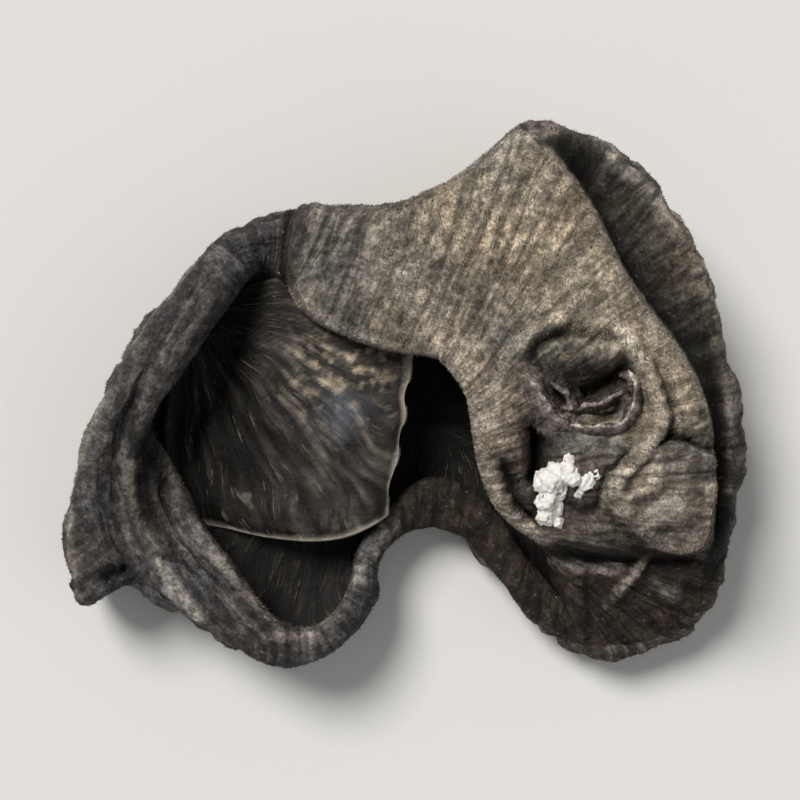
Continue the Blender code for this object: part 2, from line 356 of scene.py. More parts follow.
hoodLip = [(-6.6, 7.2), (-5.6, 6.0), (-4.2, 5.2), (-2.4, 4.5), (-0.6, 3.9), (1.0, 3.6), (2.4, 3.5)]
southLip = [(-8.4, -14.4), (-5.4, -15.0), (-3.2, -12.8), (-2.2, -9.6), (-0.6, -7.6)]
bandEdge = [(-12.2, 9.2), (-15.2, 5.0), (-18.0, 0.5), (-19.9, -3.8), (-20.3, -8.2), (-20.0, -12.0)]
northLip = [(-5.2, 11.5), (-2.2, 11.7), (0.8, 12.1), (4.0, 13.7), (7.6, 15.8), (10.2, 16.3)]
outerRim = [(11.4, 16.0), (13.6, 13.9), (16.2, 11.2), (18.2, 7.8), (19.5, 4.0), (20.2, -0.4), (20.2, -5.4)]
rollLow = [(-16.9, -3.5), (-17.0, -6.0), (-15.9, -8.8), (-13.9, -11.4), (-12.4, -13.0)]
cupLip = [(-15.4, -2.2), (-14.8, -4.0), (-13.5, -6.1), (-12.3, -8.3), (-10.3, -11.1), (-8.0, -14.0)]

# folds that bend the whole thickness: line, rise, width, for some also distance to the left, first and last share
deepFolds = [
    ([(-10.0, 10.2), (-5.0, 9.3), (0.0, 8.6), (5.0, 8.4), (9.4, 6.6)], -1.0, 2.8),
    (armLine, 0.9, 1.3, 0.0, 0.1, 1.0),
    (slot, -4.2, 0.8, 0.05, 0.0, 1.0),
    (pitFloor, -1.4, 0.7),
    (rollLine, -1.7, 1.15, 1.7, 0.42, 1.0),
    (rollLine, 0.3, 0.9),
]
# edges where one layer stands over another: line, rise on its right, fall on its left, reach of the fall
overlaps = [
    (flapEdge, 0.45, 2.6, 3.6),
    (tipEdge, 0.35, 1.3, 2.2),
]
# creases and ridges on the felted face only
felt = {
    "folds": [
        (ringRidge, 1.0, 0.24),
        (ringRidge, -0.6, 0.3, 0.62, 0.0, 0.8),
        (ringRidge, -0.5, 0.35, -0.7, 0.1, 0.8),
        (outerRidge, 0.4, 0.3),
        (outerRidge, -0.4, 0.28, -0.55, 0.0, 1.0),
        ([(7.7, 2.4), (8.0, 0.6), (8.8, -0.8), (10.2, -1.7)], 1.3, 0.36),
        ([(9.0, 1.9), (10.0, 1.2), (10.5, 0.1), (10.1, -0.9), (9.3, -0.6)], 1.0, 0.3),
        ([(11.4, -0.5), (12.6, -0.6), (13.5, 0.1)], 0.8, 0.3),
        ([(8.0, 2.5), (9.6, 2.9), (11.4, 2.9), (13.6, 2.6)], 2.1, 0.95),
        ([(7.6, 2.8), (8.0, 4.0), (9.4, 4.6), (11.6, 4.5), (13.6, 3.9)], -0.7, 0.3),
        ([(7.2, 2.6), (7.6, 4.4), (9.4, 5.2), (11.8, 5.0), (13.4, 4.6)], 0.3, 0.4),
        (slit, -1.6, 0.28),
        ([(11.4, -8.6), (11.0, -11.0), (11.8, -14.2)], 0.7, 0.34),
        (skirtRib, 0.9, 0.26),
        ([(18.0, -9.2), (16.8, -11.8), (17.0, -14.6)], 0.7, 0.36),
        ([(9.8, -9.2), (9.2, -10.8), (9.6, -12.4)], 0.5, 0.3),
        (skirtGroove, -0.9, 0.5),
        ([(2.0, 12.6), (4.6, 13.8), (7.4, 15.2), (9.6, 15.4)], -0.4, 0.6),
        ([(-1.0, 4.9), (0.9, 4.0), (2.4, 3.9), (3.6, 2.9)], 0.25, 0.4),
        ([(-18.8, -10.9), (-17.9, -10.4), (-17.0, -10.2)], -0.9, 0.5),
        (armHollow, -1.0, 0.34),
        (rollLine, 0.35, 0.34),
        (rollLine, -0.3, 0.4, -0.9, 0.3, 1.0),
        (outerRim, 0.55, 0.28),
        (outerRim, -0.45, 0.4, -0.8, 0.0, 1.0),
        (armLip, 0.35, 0.3),
        (cupLip, 0.3, 0.3),
    ],
    "pit": [(7.7, 2.6), (8.2, 3.9), (9.8, 4.5), (12.0, 4.3), (13.9, 3.4), (14.8, 1.6), (15.1, -0.6),
            (14.2, -2.2), (12.2, -2.6), (10.2, -2.2), (8.5, -1.4), (7.7, 0.6)],
    "pitDepth": 3.6,
    "lobe": [(12.7, -5.7), (13.5, -3.9), (15.6, -2.5), (17.4, -2.3), (18.5, -3.2), (18.6, -5.8), (18.2, -8.4),
             (16.4, -8.6), (14.2, -7.4)],
    "lobeRise": 1.0,
    "lobeMoat": 0.5,
}
# painted shade in creases, slots and under overlapping edges: line, width, distance to the left
paintedShadePlaces = [
    (pitFloor, 0.75, 0.0),
    ([(7.6, 2.8), (8.0, 4.0), (9.4, 4.6)], 0.35, 0.0),
    ([(12.4, -1.1), (13.3, -0.8), (13.8, 0.2)], 0.3, 0.0),
    (slot, 0.95, 0.3),
    (slit, 0.28, 0.0),
    ([(12.6, -5.2), (13.4, -3.6), (15.4, -2.2), (17.0, -1.9)], 0.25, 0.0),
    (tipEdge, 0.55, 0.5),
    (flapEdge, 0.9, 0.9),
    ([(-17.0, -1.2), (-16.0, -3.0), (-15.4, -5.0), (-14.9, -6.8)], 0.9, 0.0),
    (skirtGroove, 0.5, 0.0),
    ([(-18.5, -10.7), (-17.9, -10.4), (-17.3, -10.3)], 0.45, 0.0),
    ([(8.5, -1.8), (8.6, -3.0), (8.5, -4.6)], 0.6, 0.0),
    ([(10.3, -5.9), (11.0, -6.2), (11.9, -5.9)], 0.45, 0.0),
    (armHollow, 0.38, 0.0),
    ([(17.6, -1.0), (18.4, -3.0), (18.9, -6.0), (18.9, -9.0)], 0.35, 0.5),
]
# painted highlights along ridges, lips and rims, partly felt worn pale: line, width, tone
paleAndHighlightLines = [
    (ringRidge, 0.3, "lipPaleHighlight"),
    (outerRim, 0.3, "rimPaleHighlight"),
    (northLip, 0.3, "lipPaleHighlight"),
    ([(12.5, -5.4), (14.2, -7.3), (16.4, -8.5), (18.2, -8.6)], 0.25, "lipPaleHighlight"),
    ([(18.0, -2.4), (18.3, -5.0), (18.5, -9.0)], 0.2, "lipPaleHighlight"),
    (skirtRib, 0.2, "rimPaleHighlight"),
    ([(10.0, -9.6), (12.0, -10.2), (13.8, -9.9)], 0.4, "rimPaleHighlight"),
    ([(16.2, -10.8), (17.2, -11.6)], 0.4, "rimPaleHighlight"),
    (armLip, 0.38, "lipPaleHighlight"),
    (hoodLip, 0.3, "lipPaleHighlight"),
    (cupLip, 0.2, "rimPaleHighlight"),
    (rollLow, 0.16, "rimPaleHighlight"),
    (southLip, 0.22, "rimPaleHighlight"),
    (bandEdge, 0.22, "rimPaleHighlight"),
    ([(-15.4, -5.2), (-14.6, -4.2), (-13.8, -3.1)], 0.12, "lipPaleHighlight"),
    ([(10.8, -1.6), (12.6, -1.9), (14.0, -1.3), (14.5, 0.2)], 0.3, "lipPaleHighlight"),
    (flapEdge, 0.28, "lipPaleHighlight"),
]


def columnPlaces():
    first, last = ear["hoodSections"]
    hood = np.linspace(first, last, ear["hoodColumns"], endpoint=False)
    rest = np.linspace(last, first + len(ear["sections"]), ear["columns"] - ear["hoodColumns"], endpoint=False)
    return np.concatenate([hood, rest]) % len(ear["sections"])


def spotsOf(rings):
    floor, wall, upper = rings
    return np.concatenate([
        np.linspace(0.0, ear["wallStarts"], floor, endpoint=False),
        np.linspace(ear["wallStarts"], ear["upperStarts"], wall, endpoint=False),
        np.linspace(ear["upperStarts"], 1.0, upper),
    ])


# from the middle over the floor to the foot, up the wall, and over the upper face to the lip
def sectionPoints(rows):
    edge, lip = rows[:, 0:2], rows[:, 2:4]
    crest, lipHeight, lift = rows[:, 4:5], rows[:, 5:6], rows[:, 6:7]
    bearings = np.radians(ear["firstBearing"] - 360.0 * columnPlaces() / len(ear["sections"]))
    middle = np.tile(ear["middle"][:2], (len(rows), 1))
    start = middle + np.stack([np.cos(bearings), np.sin(bearings)], axis=1) * ear["middleOval"]
    width = np.linalg.norm(lip - edge, axis=1, keepdims=True)
    inward = (lip - edge) / width
    most, share = ear["footInset"]
    foot = edge + inward * np.minimum(most, crest * share)
    ground = ear["thickness"] / 2 + lift
    wall = crest - ground
    points = [(middle, np.full_like(lift, ear["middle"][2]))]
    for share, height in ear["floorPoints"]:
        points.append((start + (foot - start) * share, height + lift * share))
    points.append((foot, ground))
    inset, share = ear["wallLow"]
    points.append((edge + inward * crest * inset, ground + wall * share))
    points.append((edge, ground + wall * ear["wallMiddle"]))
    inset, share = ear["wallHigh"]
    points.append((edge + inward * width * inset, ground + wall * share))
    most, share, rise = ear["shoulder"]
    points.append((edge + inward * np.minimum(most, width * share), crest + rise))
    for share, drop in ear["facePoints"]:
        height = crest * (1 - drop) + lipHeight * drop + 0.4 + 0.5 * share
        points.append((edge + inward * width * share, height))
    points.append((lip + inward * 0.3, lipHeight + 0.2))
    most, share = ear["lipTuck"]
    points.append((lip + inward * 0.1, lipHeight - np.minimum(most, (lipHeight - 2.0) * share)))
    return np.stack([np.hstack(pair) for pair in points], axis=1)


def foldHeights(xy, folds):
    height = np.zeros(xy.shape[:-1])
    fade = ear["foldEnds"]
    for line, rise, width, *rest in folds:
        offset, first, last = rest or (0.0, 0.0, 1.0)
        distance, along = beside(xy, line)
        ends = ease(first, first + fade, along) * ease(last, last - fade, along)
        height += rise * ends * swell(distance - offset, width)
    return height


def overlapHeights(xy):
    height = np.zeros(xy.shape[:-1])
    for line, rise, fall, reach in overlaps:
        distance, along = beside(xy, line, reach=9.0)
        ends = ease(0.0, 0.1, along) * ease(1.0, 0.86, along)
        left = ease(-0.35, 0.55, distance)
        height += ends * (rise * (1 - left) * swell(distance, 3.0) - fall * left * swell(distance - 0.8, reach))
    return height


# the middle of the sheet's thickness at each spot of each section, and what the other steps need to know there
def middleOfSheet(rings):
    spots = spotsOf(rings)
    grid = clampedSpline(sectionPoints(roundSpline(ear["sections"], columnPlaces())), spots)
    xy = grid[..., :2]
    upper = ease(ear["upperStarts"] - 0.05, ear["upperStarts"] + 0.05, spots)[None, :]
    onFace = upper * ease(2.5, 4.5, grid[..., 2]) * ease(1.0, 0.93, spots)[None, :]
    bend = foldHeights(xy, deepFolds) + overlapHeights(xy)
    bend = bend - felt["pitDepth"] * within(xy, felt["pit"], 0.3, 2.6)
    skirt = ease(-8.2, -9.8, grid[..., 1]) * ease(7.0, 9.0, grid[..., 0])
    grid[..., 2] += (bend - ear["skirtDrop"] * skirt) * onFace
    # the steep step along the flap is evened out from section to section
    nearStep = nearLine(xy, flapEdge, 1.1, 0.5) * onFace
    for _ in range(ear["stepPasses"]):
        height = grid[..., 2]
        height += 0.6 * nearStep * ((np.roll(height, 1, 0) + np.roll(height, -1, 0)) / 2 - height)
    # the walls draw in along upright creases, with loose bulges between them
    spread = grid + roughNoise(grid * np.array([0.14, 0.14, 0.1]) + 2.0, 12, 1)[..., None] * 1.6
    push = roughNoise(grid * np.array([0.13, 0.13, 0.08]), 11, 2) * ear["wallWave"]
    for depth, *shape in ear["wallCreases"]:
        push = push - creases(spread, *shape) * depth
    wallShare = (ease(0.26, 0.38, spots) * ease(0.60, 0.48, spots))[None, :]
    outward = gridNormals(grid, True)
    outward[..., 2] *= 0.4
    grid += outward * (wallShare * push)[..., None]
    flutter = softNoise(grid * np.array([0.45, 0.45, 0.1]) + np.array([0.0, 0.0, 3.0]), 31)
    grid[..., 2] += flutter * ear["lipFlutter"] * ease(0.82, 1.0, spots)[None, :]
    lengths = np.linalg.norm(np.diff(grid, axis=1), axis=-1)
    fromLip = np.zeros(grid.shape[:2])
    fromLip[:, :-1] = np.cumsum(lengths[:, ::-1], axis=1)[:, ::-1]
    return grid, spots, fromLip, onFace


# one closed skin: out over the outer face, round the lip and back over the inner face, with a point at each end
def newSkin(name, outer, inner, rounding):
    runs = np.concatenate([outer[:, 1:], rounding[:, None], inner[:, :0:-1]], axis=1)
    columns, rings = runs.shape[:2]
    here = np.arange(columns * rings).reshape(columns, rings)
    after = np.roll(here, -1, 0)
    bottom, top = columns * rings, columns * rings + 1
    faces = quadsBetween(here, after).tolist()
    faces += [(bottom, int(a), int(b)) for a, b in zip(here[:, 0], after[:, 0])]
    faces += [(top, int(b), int(a)) for a, b in zip(here[:, -1], after[:, -1])]
    points = np.vstack([runs.reshape(-1, 3), outer[:, 0].mean(0), inner[:, 0].mean(0)])
    points[:, 2] = np.maximum(points[:, 2], lowest)
    return newPiece(name, (points + frameShift) * mm, faces)


# values of both faces in the order of the skin's points
def strung(outerValues, innerValues):
    lip = (outerValues[:, -1] + innerValues[:, -1]) / 2
    ends = [outerValues[:, 0].mean(0, keepdims=True), innerValues[:, 0].mean(0, keepdims=True)]
    runs = np.concatenate([outerValues[:, 1:], lip[:, None], innerValues[:, :0:-1]], axis=1)
    return np.concatenate([runs.reshape((-1,) + runs.shape[2:])] + ends, axis=0)


def feltTones(mid, spots, onFace, inLobe, inPit, flapSide, grooves):
    x, y, z = mid[..., 0], mid[..., 1], mid[..., 2]
    xy = mid[..., :2]
    patchy = roughNoise(mid * 0.22, 101, 2)
    upper = ease(0.5, 0.58, spots)[None, :]
    east = ease(-8.0, -6.6, x) * (1 - ease(-6.5, -8.5, y) * ease(1.5, -0.5, x))
    saddle = east * upper * ease(0.9, -0.4, flapSide) * ease(-7.0, -3.0, y)
    shadedFlap = east * upper * ease(-0.1, 0.8, flapSide)
    # painted shade: the bay strip, darker where it lies lower
    shadedBay = ease(-2.5, -4.5, y) * upper * ease(2.0, 4.0, -np.abs(x - 3.0) + 6.5) * ease(5.5, 4.0, z)
    feathered = stacked((x - y) * 0.75, (x + y) * 0.25) + 0.5 * roughNoise(mid * 0.5, 95, 2)[..., None]
    feathered = softNoise(feathered, 91)
    layers = [
        ("under", ease(0.36, 0.2, spots)[None, :]),
        ("band", (1 - east) * ease(0.42, 0.55, spots)[None, :]),
        ("saddle", saddle),
        # painted light over the saddle's northern part and painted shade at its west end
        ("saddleLitNorth", saddle * ease(2.0, 6.5, x + 0.8 * y - 8.0 + 2.0 * patchy)),
        ("saddleShadedEnd", saddle * ease(-1.0, -5.0, x + 1.5 * patchy)),
        # painted shade on the flap, also its own darker olive felt; lighter towards its rim as painted light
        ("shadedFlap", shadedFlap),
        ("flapRimLit", shadedFlap * ease(2.6, 4.2, flapSide + patchy * 0.5) * 0.8),
        ("arm", onFace * nearLine(xy, armLine, 1.6)),
        ("pit", onFace * inPit),
        ("pucker", onFace * inPit * ease(10.8, 9.6, x) * ease(2.4, 1.4, y)),
        # painted shade over the low skirt and bay, partly the skirt's own dark brown
        ("skirt", east * upper * ease(-7.6, -9.2, y + patchy * 0.6)),
        ("lobe", onFace * inLobe),
        ("skirt", shadedBay),
        ("scarRing", onFace * ease(3.4, 2.2, np.hypot(x - 10.2, y + 4.6)) * (1 - inLobe)),
        ("greyPatch", onFace * swell(np.hypot(x - 10.2, (y + 2.3) * 1.4), 1.1) * (1 - inLobe)),
        ("greyPatch", onFace * swell(np.hypot(x - 13.1, (y + 2.7) * 1.4), 1.1) * (1 - inLobe)),
        ("armShade", 0.85 * onFace * swell(np.hypot((x - 7.0) * 1.5, (y + 2.4) * 0.42), 1.2)),
        # painted highlight and painted shade draw the lobe's feathered streaks
        ("lipPaleHighlight", inLobe * ease(0.05, 0.4, feathered) * 0.75),
        ("hollowShade", inLobe * ease(-0.05, -0.4, feathered) * 0.55),
    ]
    # painted shade along each of these lines
    for line, width, offset in paintedShadePlaces:
        layers.append(("hollowShade", onFace * nearLine(xy, line, width, offset)))
    # the painted highlights are broken up in patches, partly like worn felt
    wearAndHighlight = ease(-0.6, 0.5, patchy + 0.3)
    for line, width, name in paleAndHighlightLines:
        layers.append((name, 0.85 * (onFace * nearLine(xy, line, width) * wearAndHighlight)))
    tone = toneGrid("plain", mid)
    for name, share in layers:
        tone = mixTone(tone, name, share)
    # painted light: along the rolled band the tone is lighter on the rises and darker in the grooves
    tone = tone * (1 + 0.22 * patchy)[..., None] * np.exp(0.9 * grooves)[..., None]
    warmth = roughNoise(mid * 0.24 + 60.0, 105, 2)
    return tone * (1 + np.array([0.06, 0.0, -0.06]) * warmth[..., None])


def insideTones(mid, fromLip):
    x, y = mid[..., 0], mid[..., 1]
    tone = toneGrid("inside", mid)
    tone = mixTone(tone, "insideRim", ease(2.2, 0.2, fromLip + roughNoise(mid * 0.5, 111, 2)))
    tone = tone * (1 + 0.3 * roughNoise(mid * 0.4, 121, 3))[..., None]
    # painted shade on the inner face under the hood
    shadeUnderHood = ease(-4.0, -1.5, x) * ease(-8.0, -6.0, y)
    tone = mixTone(tone, "deepShade", shadeUnderHood * ease(0.8, 2.0, fromLip))
    # painted shade over the south of the inner face
    return mixTone(tone, "deepShade", 0.9 * ease(-5.5, -7.5, y) * ease(0.5, 2.0, fromLip))


# gives back the piece, points of its felted face, and which of its points have pale and which have dark felt
def buildEar():
    mid, spots, fromLip, onFace = middleOfSheet(ear["outerRings"])
    innerMid, _, innerFromLip, _ = middleOfSheet(ear["innerRings"])
    xy = mid[..., :2]
    normal = gridNormals(mid, True)
    upper = ease(0.5, 0.58, spots)[None, :]
    wall = (ease(0.28, 0.4, spots) * ease(0.62, 0.52, spots))[None, :]
    floor = ease(0.36, 0.2, spots)[None, :]
    inPit = within(xy, felt["pit"], 0.5, 1.4)
    inLobe = within(xy, felt["lobe"], 0.15, 0.35)
    lobeSide, _ = beside(xy, felt["lobe"], closed=True)
    folds = foldHeights(xy, felt["folds"]) + felt["lobeRise"] * inLobe
    folds = (folds - felt["lobeMoat"] * swell(lobeSide - 0.55, 0.35)) * onFace

    # felt puckered into short creases that run away from the lip
    around = columnPlaces()[:, None] / len(ear["sections"]) * 2 * np.pi
    ring = stacked(np.cos(around) * ear["ringRadius"], np.sin(around) * ear["ringRadius"], fromLip * 0.42)
    warp = roughNoise(mid * 0.35, 41, 2)[..., None] * 1.2
    grain = sharpFolds((mid + warp) * np.array([1.05, 1.05, 0.8]), 51, 2)
    streaks = sharpFolds(ring * np.array([1.5, 1.5, 1.0]) + warp * 0.6, 61, 2)
    drapes = sharpFolds(ring * np.array([0.45, 0.45, 0.25]) + 5 + warp * 0.5, 71, 2)
    wrinkles = ear["wrinkle"] * (0.75 * grain + 0.6 * streaks * upper)
    wrinkles = wrinkles + wall * drapes * ear["wallDrapes"]
    wrinkles = wrinkles + floor * drapes * ear["floorDrapes"] * ease(0.02, 0.15, spots)[None, :]
    # long grooves along the rolled rim
    rollSide, rollAlong = beside(xy, rollLine, reach=9.0)
    onBand = ease(-3.6, -1.2, rollSide) * ease(5.6, 3.6, rollSide) * upper * ease(0.02, 0.2, rollAlong)
    bandPlace = stacked(rollSide * 1.15, rollAlong * 3.4)
    grooves = softNoise(bandPlace + 0.25 * roughNoise(mid * 0.5, 75, 2)[..., None], 76) * onBand
    # both fade at the steps, at the lip and where the face is steep
    flapSide, _ = beside(xy, flapEdge, reach=40.0)
    tipSide, _ = beside(xy, tipEdge, reach=4.0)
    nearStep = np.clip(swell(flapSide - 0.7, 1.3) + swell(tipSide - 0.4, 0.9), 0, 1)
    steep = upper * ease(0.72, 0.45, normal[..., 2])
    wrinkles = (wrinkles + ear["bandGrooves"] * grooves) * (1 - 0.92 * nearStep * upper)
    wrinkles = wrinkles * ease(0.0, 0.8, fromLip) * (1 - 0.7 * steep)
    outer = mid + normal * halfThickness(ear, fromLip)[..., None]
    outer[..., 2] += folds
    outer += gridNormals(outer, True) * wrinkles[..., None]

    innerWarp = roughNoise(innerMid * 0.3, 81, 2)[..., None]
    veins = sharpFolds((innerMid + innerWarp * 1.5) * 0.4, 91, 3) * ear["veins"]
    half = halfThickness(ear, innerFromLip) + veins * ease(0.0, 1.5, innerFromLip)
    inner = innerMid - gridNormals(innerMid, True) * half[..., None]
    inner[..., 2] = np.maximum(inner[..., 2], ear["innerGround"])

    rounding = mid[:, -1] + unit(mid[:, -1] - mid[:, -2]) * ear["lipThickness"] * 0.4
    item = newSkin("wood_ear_flesh", outer, inner, rounding)
    tone = feltTones(mid, spots, onFace, inLobe, inPit, flapSide, grooves)
    none = np.zeros(innerMid.shape[:2])
    lengthwise = around * ear["grainAround"]
    addNotes(item, {
        "tone": strung(tone, insideTones(innerMid, innerFromLip)),
        # the relief, which the shader turns into painted light: ridges lighter, creases darker
        "reliefLight": strung(np.clip(folds * 0.55 + wrinkles * 1.6, -1, 1), np.clip(veins * 2.5, -1, 1)),
        "inside": strung(0 * fromLip, none + 1),
        "fromLip": strung(fromLip, innerFromLip),
        "acrossGrain": strung(lengthwise + 0 * fromLip, lengthwise + none),
        "alongGrain": strung(fromLip, innerFromLip),
        "onBand": strung(onBand, none),
        "rollSide": strung(rollSide, none),
        "rollAlong": strung(rollAlong * ear["grainAlongRoll"], none),
    })
    print("ear:", len(item.data.vertices), "vertices")
    lightness = tone.mean(axis=-1)
    felted = fromLip > 0.35
    pale = felted & (lightness > ear["paleFelt"])
    dark = felted & ~pale & (lightness > ear["darkFelt"])
    onTop = (onFace > 0.3) & (fromLip > 0.2)
    return item, outer[onTop], strung(pale * 1.0, none) > 0.5, strung(dark * 1.0, none) > 0.5


# thin folds that stand up from the felt

standing = {
    "steps": 80,
    "roundSteps": 7,
    "buried": 0.9,
    "wander": 0.22,
    "crumple": 0.12,
    # line, rise, thickness at the edge, lean to the left of the line, tone at the edge, tone at the foot
    "folds": [
        ([(7.4, 2.2), (7.7, 1.0), (8.4, -0.4), (9.5, -1.5), (10.6, -1.8)],
         0.9, 0.34, 0.35, "pucker", "pucker"),
        ([(8.7, 1.9), (9.8, 1.4), (10.5, 0.4), (10.4, -0.7), (9.6, -1.1), (9.0, -0.4)],
         0.8, 0.3, -0.2, "pucker", "pit"),
        ([(9.6, -1.3), (10.8, -1.6), (12.4, -2.0), (13.8, -1.5), (14.6, -0.2), (14.5, 1.3), (13.8, 2.4)],
         1.1, 0.22, 0.55, "lipPaleHighlight", "pucker"),
        ([(10.2, -0.6), (11.6, -0.6), (12.8, -0.1), (13.9, 0.9)],
         0.8, 0.26, 0.4, "pucker", "pit"),
    ],
}


# height of the felted face under a run of points, smoothed along it
def faceHeight(face, xy):
    heights = []
    for point in xy:
        distance = np.hypot(face[:, 0] - point[0], face[:, 1] - point[1])
        nearest = np.argpartition(distance, 6)[:6]
        heights.append(face[nearest, 2].mean())
    padded = np.concatenate([heights[:1] * 3, heights, heights[-1:] * 3])
    return np.convolve(padded, np.ones(7) / 7, "valid")


def buildStandingFolds(face):
    share = np.linspace(0.0, 1.0, standing["steps"])
    ends = (ease(0.0, 0.3, share) * ease(1.0, 0.7, share)) ** 0.7
    # a section of each fold: up one side, round the top and down the other
    turns = np.linspace(0.0, np.pi, standing["roundSteps"])
    climbs = np.array([0.0, 0.2, 0.4, 0.6, 0.8])
    acrossShare = np.concatenate([1 + 0 * climbs, np.cos(turns), -1 + 0 * climbs])
    upShare = np.concatenate([climbs, 1 + 0 * turns, climbs[::-1]])
    roundUp = np.concatenate([0 * climbs, np.sin(turns), 0 * climbs])
    allPoints, faces, notes = [], [], {}
    for number, (line, rise, thickness, lean, edgeTone, footTone) in enumerate(standing["folds"]):
        centre = evenly(clampedSpline(np.array([line], float), np.linspace(0.0, 1.0, 400))[0], share)
        length = lengthAlong(centre)
        run = unit(np.gradient(centre, axis=0))
        left = np.stack([-run[:, 1], run[:, 0]], axis=1)
        wander = softNoise(stacked(length * 0.55, number * 5.3), 301)
        waver = softNoise(stacked(length * 0.8, number * 7.1, 4.0), 311)
        centre = centre + left * (wander * standing["wander"])[:, None]
        ground = faceHeight(face, centre)
        top = rise * ends * (1 + 0.35 * waver) - standing["buried"] * 0.8 * (1 - ends)
        half = thickness / 2 * (1 + 0.45 * wander)[:, None] * (1 + 5.0 * (1 - upShare) ** 1.6)[None, :]
        height = (top[:, None] + standing["buried"]) * upShare[None, :] - standing["buried"]
        across = acrossShare[None, :] * half + lean * upShare[None, :] ** 2 * ends[:, None]
        points = np.empty((len(share), len(upShare), 3))
        points[..., :2] = centre[:, None, :] + left[:, None, :] * across[..., None]
        points[..., 2] = ground[:, None] + height + roundUp[None, :] * half * 0.9
        crumple = roughNoise(points * 2.0, 321 + number, 3)
        points += stacked(left[:, :1] * crumple, left[:, 1:] * crumple, crumple * 0.6) * standing["crumple"]
        index = (number * len(share) + np.arange(len(share)))[:, None] * len(upShare) + np.arange(len(upShare))
        after = np.roll(index, -1, axis=1)
        faces += np.stack([index[:-1], index[1:], after[1:], after[:-1]], axis=-1).reshape(-1, 4).tolist()
        faces += [index[0].tolist(), index[-1, ::-1].tolist()]
        allPoints.append(points.reshape(-1, 3))
        tip = upShare[None, :] + 0 * across
        # painted highlight on each fold's top in the edge tone over the foot tone, broken in patches
        wearAndHighlight = np.clip(0.75 + 0.5 * softNoise(points * 0.9 + 6.0, 331 + number), 0, 1)
        tone = mixTone(toneGrid(footTone, points), edgeTone, ease(0.8, 1.0, tip) * wearAndHighlight)
        made = {
            "tone": tone * (1 + 0.2 * crumple)[..., None],
            # painted highlight on each fold's top and painted shade lower down
            "reliefLight": ease(0.6, 1.0, tip) * 0.5 - 0.2 + crumple * 0.3,
            "inside": 0 * across,
            "fromLip": 2.0 + 0 * across,
            "acrossGrain": length[:, None] + 0 * across,
            "alongGrain": 2.0 + 0 * across,
        }
        for name, values in made.items():
            notes.setdefault(name, []).append(values.reshape((-1,) + values.shape[2:]))
    item = newPiece("wood_ear_standing_folds", (np.concatenate(allPoints) + frameShift) * mm, faces)
    addNotes(item, {name: np.concatenate(parts) for name, parts in notes.items()})
    print("standing folds:", len(item.data.vertices), "vertices")
    return item


# the tongue between hood and rim

tongue = {
    "columns": 190,
    "rings": 170,
    "pivot": (-13.5, 6.5),          # the fibres fan out from here
    "thickness": 0.7,
    "lipThickness": 0.42,
    "wave": 0.5,
    "flutter": 0.5,
    "fibres": (0.1, 0.22),          # fine, broad
    "fleckMiddle": (-3.6, 2.0),
    "sheenMiddle": (-3.6, -0.6),
    # rows from the root in the west to the free edge in the east, each from north to south
    "rows": [
        [(-10.0, 9.4, 3.4), (-13.4, 5.2, 3.0), (-15.8, 0.2, 2.6), (-15.0, -4.6, 2.4), (-12.6, -7.8, 2.2)],
        [(-9.2, 10.0, 3.8), (-12.2, 5.4, 3.0), (-14.0, 0.1, 2.4), (-13.4, -4.8, 2.2), (-11.4, -8.0, 2.2)],
        [(-7.4, 10.8, 4.8), (-9.8, 5.8, 4.2), (-10.9, 0.0, 3.6), (-10.7, -4.8, 3.2), (-9.8, -8.3, 2.9)],
        [(-5.4, 11.4, 5.6), (-6.8, 6.2, 5.9), (-7.2, 0.4, 5.8), (-7.2, -4.4, 5.3), (-6.9, -8.6, 4.0)],
        [(-2.8, 11.6, 5.6), (-3.4, 6.0, 6.4), (-3.6, 0.2, 6.7), (-3.8, -4.2, 6.2), (-4.4, -8.7, 4.8)],
        [(0.0, 11.8, 5.4), (-0.2, 6.0, 6.4), (-0.9, 0.4, 7.1), (-1.1, -3.4, 6.8), (-2.3, -8.0, 5.6)],
        [(1.3, 12.0, 5.2), (1.0, 5.6, 6.2), (0.4, 1.4, 7.0), (0.0, -2.6, 6.9), (-1.1, -6.9, 5.8)],
    ],
}


